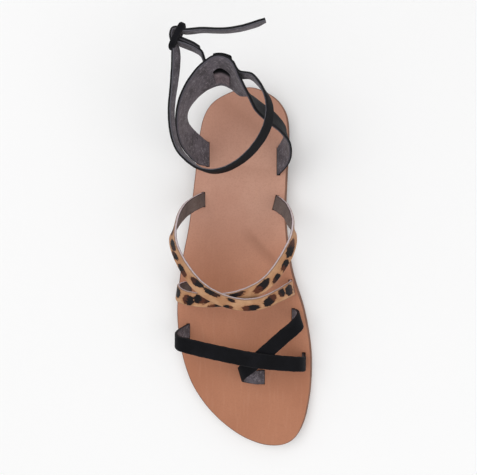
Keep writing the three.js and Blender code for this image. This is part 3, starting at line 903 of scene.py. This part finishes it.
def footbed_leather():
    look = Look("footbed_leather", 0.5, sheen=0.05, specular=0.35)
    place = look.place()
    cloud = look.noise(place, 0.018, 3, 0.55)
    fine = look.noise(place, 0.9, 4, 0.6)
    fibre = look.noise(look.place((1, 0.12, 1)), 0.5)
    clouds = look.range(cloud, 0.36, 0.66)
    rear = look.mix(clouds, (190, 139, 118), (201, 152, 131))
    # The forefoot tone is partly painted light, paler to lift the shade between the straps, and the toe
    # tone is partly painted shade.
    front = look.mix(clouds, (187, 125, 95), (197, 135, 105))
    toe = look.mix(clouds, (173, 113, 83), (181, 121, 91))
    y = look.part(place, "Y")
    base = look.mix(look.range(y, *FOREFOOT_TONE_AND_PAINTED_LIGHT), rear, front)
    base = look.mix(look.range(y, *TOE_TONE_AND_PAINTED_SHADE), base, toe)
    base = look.tint(base, y, *HEEL_TONE, 0.6, (176, 125, 103))
    base = look.tint(base, fine, 0.42, 0.72, 0.2, (150, 98, 74))
    base = look.tint(base, fibre, 0.5, 0.75, 0.12, (206, 154, 126))
    for turn, edge_at, width, start, end, strength in FOOTBED_SHADE_BANDS:
        angle = math.radians(turn)
        outward = look.dot(place, (math.sin(angle), math.cos(angle), 0))
        lengthwise = look.dot(place, (math.cos(angle), -math.sin(angle), 0))
        band = look.product(look.range(outward, edge_at - width, edge_at - SHARP_EDGE),
                            look.range(outward, edge_at + SHARP_EDGE, edge_at - SHARP_EDGE))
        ends = look.product(look.range(lengthwise, start - SOFT_ENDS, start + SOFT_ENDS),
                            look.range(lengthwise, end + SOFT_ENDS, end - SOFT_ENDS))
        share = look.product(look.product(band, ends), strength)
        # Each band darkens the footbed with painted shade.
        base = look.mix(share, base, (150, 100, 76))
    look.paint(base)
    look.gloss(look.range(cloud, 0.3, 0.7, 0.46, 0.58))
    pores = look.cells(place, 1.5)
    look.relief((pores, 0.02), (fine, 0.03), (cloud, 0.25))
    return look.material


def footbed_edge():
    look = Look("footbed_edge", 0.6)
    layers = look.noise(look.place((0.06, 0.06, 1)), 1.6, 3, 0.6)
    look.paint(look.mix(look.range(layers, 0.35, 0.65), (150, 102, 78), (118, 78, 60)))
    look.relief((layers, 0.08))
    return look.material


def outsole_leather(name, light, dark):
    look = Look(name, 0.72)
    place = look.place()
    cloud = look.noise(place, 0.05, 4, 0.6)
    fine = look.noise(place, 1.2, 4, 0.6)
    look.paint(look.mix(look.range(cloud, 0.35, 0.68), light, dark))
    look.relief((fine, 0.05), (look.cells(place, 1.1), 0.03))
    return look.material


def heel_rubber():
    look = Look("heel_rubber", 0.82)
    place = look.place()
    cloud = look.noise(place, 0.08)
    ribs = look.add("TexWave", {"Vector": look.place((1, 1, 0)), "Scale": 0.09},
                    output="Fac", bands_direction="DIAGONAL")
    look.paint(look.mix(look.range(cloud, 0.35, 0.68), (52, 47, 44), (38, 35, 33)))
    look.relief((look.noise(place, 1.5), 0.05), (ribs, 0.35))
    return look.material


def black_grain():
    look = Look("black_grain", 0.5, specular=0.08)
    place = look.strap_place()
    cloud = look.noise(place, 0.07)
    cells = look.cells(look.strap_place((0.8, 1, 1)), 1.35)
    fine = look.noise(place, 2.2)
    base = look.mix(look.range(cloud, 0.35, 0.68), (12, 12, 15), (21, 21, 25))
    look.paint(look.tint(base, cells, 0.35, 0.05, 0.3, (38, 39, 44)))
    look.gloss(look.range(cloud, 0.3, 0.7, 0.56, 0.7))
    look.relief((cells, 0.06), (fine, 0.03))
    return look.material


def mottled_flesh(look, place, dark, light, warm):
    """The colour and the height of the flesh side: clouds, pale fibres and darker specks."""
    cloud = look.noise(place, 0.09, 4, 0.65)
    nap = look.noise(place, 0.55, 6, 0.8)
    fibre = look.noise(look.strap_place((0.5, 1.4, 1)), 1.6, 4, 0.7)
    base = look.mix(look.range(cloud, 0.34, 0.66), dark, light)
    base = look.tint(base, nap, 0.5, 0.64, 0.85, warm)
    return look.tint(base, fibre, 0.47, 0.34, 0.6, dark), nap


def suede(name, dark, light, warm):
    look = Look(name, 0.95, sheen=0.2, specular=0.1)
    base, nap = mottled_flesh(look, look.strap_place(), dark, light, warm)
    look.paint(base)
    look.relief((nap, 0.2))
    return look.material


def cut_edge(name, light, dark, inner_line, outer_line, line_start):
    """A strap's cut edge, with a line along its flesh side and one from a depth to its grain side."""
    look = Look(name, 0.7, specular=0.2)
    place = look.strap_place()
    depth = look.part(place, "Z")
    fibre = look.noise(look.strap_place((0.5, 1, 3)), 1.0, 4, 0.6)
    wavy = look.sum(depth, look.swing(look.noise(place, 0.8), 0.5, 0.5))
    base = look.mix(look.range(fibre, 0.35, 0.65), light, dark)
    base = look.mix(look.range(wavy, -0.45, -0.8), base, inner_line)
    look.paint(look.mix(look.range(wavy, line_start, line_start + 0.35), base, outer_line))
    look.relief((fibre, 0.1))
    return look.material


def keeper_shade_and_tongue():
    """The flesh side of the keeper: near black with painted shade inside its loop over the ankle strap, and
    pale on its tongue.
    """
    look = Look("keeper_shade_and_tongue", 0.9, specular=0.1)
    place = look.strap_place()
    base, nap = mottled_flesh(look, place, (98, 88, 92), (122, 111, 116), (148, 132, 134))
    tongue = look.range(look.part(place, "X"), TONGUE_START - 1, TONGUE_START + 1)
    # Near black up to the tongue: painted shade inside the keeper's loop.
    look.paint(look.mix(tongue, (12, 12, 14), base))
    look.relief((nap, 0.2))
    return look.material


def spotted_hide():
    look = Look("spotted_hide", 0.62, sheen=0.06, specular=0.16)
    place = look.strap_place()
    streaks = look.noise(look.strap_place((0.35, 3.2, 1)), 1.0, 4, 0.6)
    cloud = look.noise(place, 0.1)
    ragged = look.noise(look.strap_place((0.6, 1, 1)), 0.75, 4, 0.6)
    found = look.add("Attribute", {}, output="Vector", attribute_name="spots")
    distance = look.part(found, "X")
    brownness = look.part(found, "Y")
    brown_end = look.part(found, "Z")
    wobbly = look.sum(distance, look.sum(look.swing(streaks, 0.5, 0.8), look.swing(ragged, 0.62, 2.7)))
    base = look.mix(look.range(cloud, 0.35, 0.66), (177, 130, 94), (200, 157, 120))
    base = look.tint(base, streaks, 0.46, 0.64, 0.4, (158, 108, 72))
    base = look.tint(base, wobbly, 1.2, 0.1, 0.4, (148, 94, 60))
    patch = look.range(look.sum(brown_end, look.swing(ragged, 0.5, 1.6)), 0, 0.4)
    core = look.mix(look.product(patch, brownness), (19, 14, 16), (90, 47, 30))
    look.paint(look.mix(look.range(wobbly, 0.22, -0.22), base, core))
    look.relief((streaks, 0.16), (ragged, 0.1))
    return look.material


FLOOR_COLOUR = (0.97, 0.97, 0.97, 1)


def floor_paint():
    look = Look("floor_paint", 0.9, specular=0.1)
    look.shader.inputs["Base Color"].default_value = FLOOR_COLOUR
    return look.material


footbed_rim = footbed_edge()
footbed_materials = [footbed_leather(), footbed_rim, footbed_rim]
outsole_edge = outsole_leather("outsole_edge", (146, 106, 86), (112, 80, 64))
outsole_face = outsole_leather("outsole_face", (168, 128, 100), (142, 104, 80))
outsole_materials = [outsole_edge, outsole_edge, outsole_face]
heel_materials = [heel_rubber()] * 3
black_flesh = suede("black_flesh", (70, 65, 69), (101, 95, 102), (142, 135, 142))
# The ankle ring's and heel wall's cut edges are paler than the other black edges: partly their own grey,
# partly painted highlight from light above.
ring_edge_grey_and_highlight = cut_edge("ring_edge_grey_and_highlight", (122, 120, 127), (88, 86, 94), (84, 82, 88), (20, 20, 23), -0.6)
wall_edge_grey_and_highlight = cut_edge("wall_edge_grey_and_highlight", (92, 89, 96), (68, 65, 72), (84, 80, 88), (20, 20, 23), -0.5)
black_edge = cut_edge("black_edge", (60, 59, 64), (40, 39, 43), (70, 68, 73), (18, 18, 21), -0.55)
grain = black_grain()
black_materials = [grain, black_edge, black_flesh]
ring_materials = [grain, ring_edge_grey_and_highlight, black_flesh]
wall_materials = [grain, wall_edge_grey_and_highlight, black_flesh]
# The keeper's flesh side and cut edges carry painted shade inside its loop.
inside = keeper_shade_and_tongue()
keeper_materials = [grain, inside, inside]
spotted_flesh = suede("spotted_flesh", (92, 80, 76), (114, 100, 95), (100, 82, 76))
# The spotted strap's pale edge is partly its own colour and partly painted highlight, and its dark line
# along the flesh side is painted shade.
spotted_edge_and_painted_light = cut_edge("spotted_edge_and_painted_light", (214, 199, 201), (184, 168, 172), (70, 55, 54),
                        (150, 118, 96), 0.3)
spotted_materials = [spotted_hide(), spotted_edge_and_painted_light, spotted_flesh]


# Pieces
def place_pieces(node, slot, *pieces):
    """Puts pieces on the one body and hides the node that they replace. The slot, what they are made of, is
    not used.
    """
    for piece in pieces:
        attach(piece, "root")
        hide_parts(node)


def slot_cutter(path, row):
    """A block where a strap goes through the footbed, a little larger than the strap."""
    centre, across = path.centre(row)[0], path.across(row)[0]
    half_width = across * (path.width(row) / 2 + SLOT_ROOM)
    half_depth = np.cross(across, (0, 0, 1)) * (STRAP_THICKNESS / 2 + SLOT_ROOM)
    corners = [centre + half_width * a + half_depth * b + (0, 0, z)
               for z in SLOT_CUTTER_HEIGHTS for a, b in SQUARE]
    faces = [(0, 1, 2, 3), (7, 6, 5, 4), (0, 4, 5, 1), (1, 5, 6, 2), (2, 6, 7, 3), (3, 7, 4, 0)]
    return new_object("slot_cutter", corners, faces, [footbed_rim])


def make_sole():
    footbed = sole_layer("footbed_dressed", 0, footbed_bottom, footbed_top, FOOTBED_ROUNDING,
                         footbed_materials)
    subtract(footbed, [slot_cutter(path, row)
                       for path in (upper_instep, lower_instep, toe_strap, thong_strap, heel_wall)
                       for row in (0, path.last)])
    place_pieces("footbed", "footbed_leather", footbed)
    outsole = sole_layer("outsole_dressed", OUTSOLE_EDGE, underside, outsole_top, OUTSOLE_ROUNDING,
                         outsole_materials)
    place_pieces("outsole", "outsole_leather", outsole)
    lift = sole_layer("heel_lift_dressed", -HEEL_LIFT_INSET, lambda y: 0, lambda y: HEEL_LIFT_HEIGHT,
                      HEEL_LIFT_ROUNDING, heel_materials, end_y=HEEL_REACH - HEEL_LIFT_LENGTH)
    place_pieces("heel_lift", "heel_rubber", lift)


def make_straps():
    upper = strap_object("upper_instep_strap", upper_instep, spotted_materials, 1, UPPER_SPOTS, seed=1.3)
    lower = strap_object("lower_instep_strap", lower_instep, spotted_materials, -1, LOWER_SPOTS, seed=2.9)
    place_pieces("instep_straps", "spotted_hide", upper, lower)
    toe = strap_object("toe_strap", toe_strap, black_materials, 1, seed=5.1)
    thong = strap_object("thong_strap", thong_strap, black_materials, 1, seed=7.7)
    place_pieces("toe_straps", "black_leather", toe, thong)


def keeper_grid():
    """The strip that holds the ankle strap: down over it, in through the slit and down inside.

    Each point has its distance out from the wall's middle surface and up from its middle line.
    """
    strap_top = STRAP_UP + ANKLE_STRAP_WIDTH / 2
    bend = KEEPER_REACH - SEWN_OUT
    points = [
        (SEWN_OUT - KEEPER_SKIVING, SEWN_UP),
        (SEWN_OUT, strap_top + bend),
        (SEWN_OUT + bend * 0.12, strap_top + bend * 0.7),
        (SEWN_OUT + bend * 0.4, strap_top + bend * 0.46),
        (SEWN_OUT + bend * 0.78, strap_top + bend * 0.36),
        (KEEPER_REACH, strap_top - bend * 0.07),
        (KEEPER_REACH, (strap_top + SLIT_UP) / 2),
        (KEEPER_REACH, SLIT_UP + KEEPER_THICKNESS * 1.6),
        (KEEPER_REACH * 0.62, SLIT_UP + KEEPER_THICKNESS * 0.45),
        (KEEPER_REACH * 0.25, SLIT_UP + KEEPER_THICKNESS * 0.15),
        (-SEWN_OUT * 0.6, SLIT_UP - KEEPER_THICKNESS * 0.2),
        (-SEWN_OUT, SLIT_UP - KEEPER_THICKNESS * 1.15),
        (-SEWN_OUT, SLIT_UP - TONGUE_LENGTH),
    ]
    last = len(points) - 1
    places = np.linspace(0, last, KEEPER_STEPS * last + 1)
    line = spline(points, places)

    # The steps are counted in points: the strip widens beside the strap and fits the slit after it.
    in_slit = smooth_step(5, last - 4, places)
    half = KEEPER_HALF_WIDTH + (SLIT_HALF_WIDTH - CLEARANCE - KEEPER_HALF_WIDTH) * in_slit
    half = half / TOP_ROW_LENGTH * (KEEPER_SEWN_SHARE + (1 - KEEPER_SEWN_SHARE) * smooth_step(5, 8, places))
    rounded = KEEPER_ROUNDING * (1 - smooth_step(0.5, 4.5, places))
    k = np.linspace(-1, 1, KEEPER_COLUMNS)
    return np.array([heel_wall.at(TOP_ROW + k * reach, up - corner * k * k, OUTSIDE * out)
                     for (out, up), reach, corner in zip(line, half, rounded)])


def slit_cutter():
    """The lens of the slit, arched above and level below, through the whole wall."""
    k = np.linspace(-1, 1, SLIT_COLUMNS)
    rows = TOP_ROW + k * SLIT_HALF_WIDTH / TOP_ROW_LENGTH
    arch = SLIT_HEIGHT * (1 - SLIT_ARCH * k * k) * (1 - SLIT_SLANT * k)
    upper = heel_wall.at(rows, SLIT_UP + arch)
    lower = heel_wall.at(rows, SLIT_UP - SLIT_LIP)
    grid = np.stack([upper + (lower - upper) * share for share in np.linspace(0, 1, 4)], 1)
    return sheet_object("slit_cutter", grid, SLIT_CUTTER_DEPTH, SLIT_CUTTER_ROUNDING, [black_edge] * 3)


def make_heel_piece():
    wall = strap_object("heel_wall", heel_wall, wall_materials, OUTSIDE, columns=25, spacing=0.8, seed=3.3)
    subtract(wall, [slit_cutter()])
    keeper = sheet_object("heel_keeper", keeper_grid(), KEEPER_THICKNESS, KEEPER_EDGE_ROUNDING,
                          keeper_materials, -1)
    place_pieces("heel_piece", "black_leather", wall, keeper)


# The ankle strap behind the heel piece: rows of the wall from the keeper, and how far the strap comes down.
RING_BEHIND = [(-0.95, 0), (-0.4, 0), (0, 0), (0.4, 0), (0.7, 0.3), (1.2, 3.3)]
STRAND_BEHIND = [(0, 0), (-0.4, 0), (-0.95, 0)]


def ankle_place(along, across, height):
    """A place of the ankle strap, from shares of the sole's length, ball width and heel piece's height."""
    up = footbed_top(HEEL_REACH) + height * HEEL_PIECE_HEIGHT
    return np.stack([across * BALL_WIDTH, HEEL_REACH - along * SOLE_LENGTH, up], -1)


def leaning_path(table, behind=()):
    """A path of the ankle strap, with the rows that it has behind the heel piece first."""
    along, across, height, turn, lean = np.array(table).T
    centres = ankle_place(along, across, height)
    acrosses = directions(turn, 90 - lean)
    if behind:
        offsets, drops = np.array(behind).T
        rows = TOP_ROW + offsets
        centres = np.vstack([heel_wall.at(rows, STRAP_UP - drops, OUTSIDE * STRAP_OUT), centres])
        acrosses = np.vstack([heel_wall.across(rows), acrosses])
    return Path(centres, acrosses, constant(ANKLE_STRAP_WIDTH))


def knot_grid():
    """The turn of the strap round the knot: an oval band whose end lies over its start."""
    middle = ankle_place(*KNOT_PLACE)
    length_way = directions(KNOT_TURN, 0)
    width_way = directions(KNOT_TURN - 90, 0)
    angles = np.radians(np.linspace(KNOT_START, KNOT_END, KNOT_ROWS))
    growth = np.linspace(-KNOT_GROWTH, KNOT_GROWTH, len(angles))
    half = STRAP_THICKNESS / 2
    rows = []
    for angle, grow in zip(angles, growth):
        out = (KNOT_LENGTH / 2 - half + grow) * math.cos(angle)
        up = (KNOT_HEIGHT / 2 - half + grow) * math.sin(angle)
        slip = KNOT_SLIP * math.sin(angle)
        sideways = abs(math.cos(angle))
        narrowed = 1 - KNOT_NARROWING * (1 - sideways**2)
        half_width = KNOT_WIDTH / 2 * narrowed * math.sqrt(1 - KNOT_POINTING * sideways**8)
        rows.append([middle + length_way * out + (0, 0, up) + width_way * (k * half_width + slip)
                     for k in np.linspace(-KNOT_SPREAD, KNOT_SPREAD, KNOT_COLUMNS)])
    return np.array(rows)


def make_ankle_strap():
    main = leaning_path(ANKLE_RING, RING_BEHIND)
    ends = main.centre([main.last - 1, main.last])
    tip_row = main.last - TIP_LENGTH / np.linalg.norm(ends[1] - ends[0])

    def tipped_width(rows):
        tip = smooth_step(tip_row, main.last, rows)
        return ANKLE_STRAP_WIDTH * (1 - (1 - TIP_SHARE) * tip**2)

    main.width = tipped_width
    strand = leaning_path(ANKLE_STRAND, STRAND_BEHIND)
    short_end = leaning_path(ANKLE_SHORT_END)
    free = {"in_slots": False, "columns": 11}
    place_pieces(
        "ankle_strap", "black_leather",
        strap_object("ankle_ring", main, ring_materials, -1, seed=6.1, **free),
        strap_object("ankle_strand", strand, ring_materials, 1, seed=8.3, **free),
        strap_object("ankle_short_end", short_end, black_materials, -1, seed=9.7, **free),
        sheet_object("ankle_knot", knot_grid(), STRAP_THICKNESS, STRAP_ROUNDING, black_materials))


make_sole()
make_straps()
make_heel_piece()
make_ankle_strap()


# Floor and lights
FLOOR_HALF = 1500
WORLD_STRENGTH = 0.62

# Disk lights: place and size in metres and power in watts, all aimed at one point of the shoe
LIGHTS = [
    ("key", (-0.55, 0.35, 1.3), 1.3, 6.4),
    ("fill", (0.9, -0.5, 1.1), 1.2, 3.6),
    ("front", (0.1, -1.3, 0.8), 1.0, 2.2),
]
AIM = Vector((0, -0.08, 0))


def make_floor():
    corners = [(x * FLOOR_HALF, y * FLOOR_HALF, 0) for x, y in SQUARE]
    floor = new_object("floor", corners, [(0, 1, 2, 3)], [floor_paint()])


def make_light(name, place, size, power):
    data = bpy.data.lights.new(name, "AREA")
    data.shape = "DISK"
    data.size = size
    data.energy = power
    light = bpy.data.objects.new(name, data)
    bpy.context.scene.collection.objects.link(light)
    light.location = place
    direction = AIM - Vector(place)
    light.rotation_euler = direction.to_track_quat("-Z", "Y").to_euler()


def make_world():
    world = bpy.data.worlds.new("world")
    world.use_nodes = True
    background = world.node_tree.nodes["Background"]
    background.inputs["Color"].default_value = (1, 1, 1, 1)
    background.inputs["Strength"].default_value = WORLD_STRENGTH
    bpy.context.scene.world = world
    bpy.context.scene.view_settings.view_transform = "Standard"


make_floor()
for light in LIGHTS:
    make_light(*light)
make_world()

bpy.context.view_layer.update()
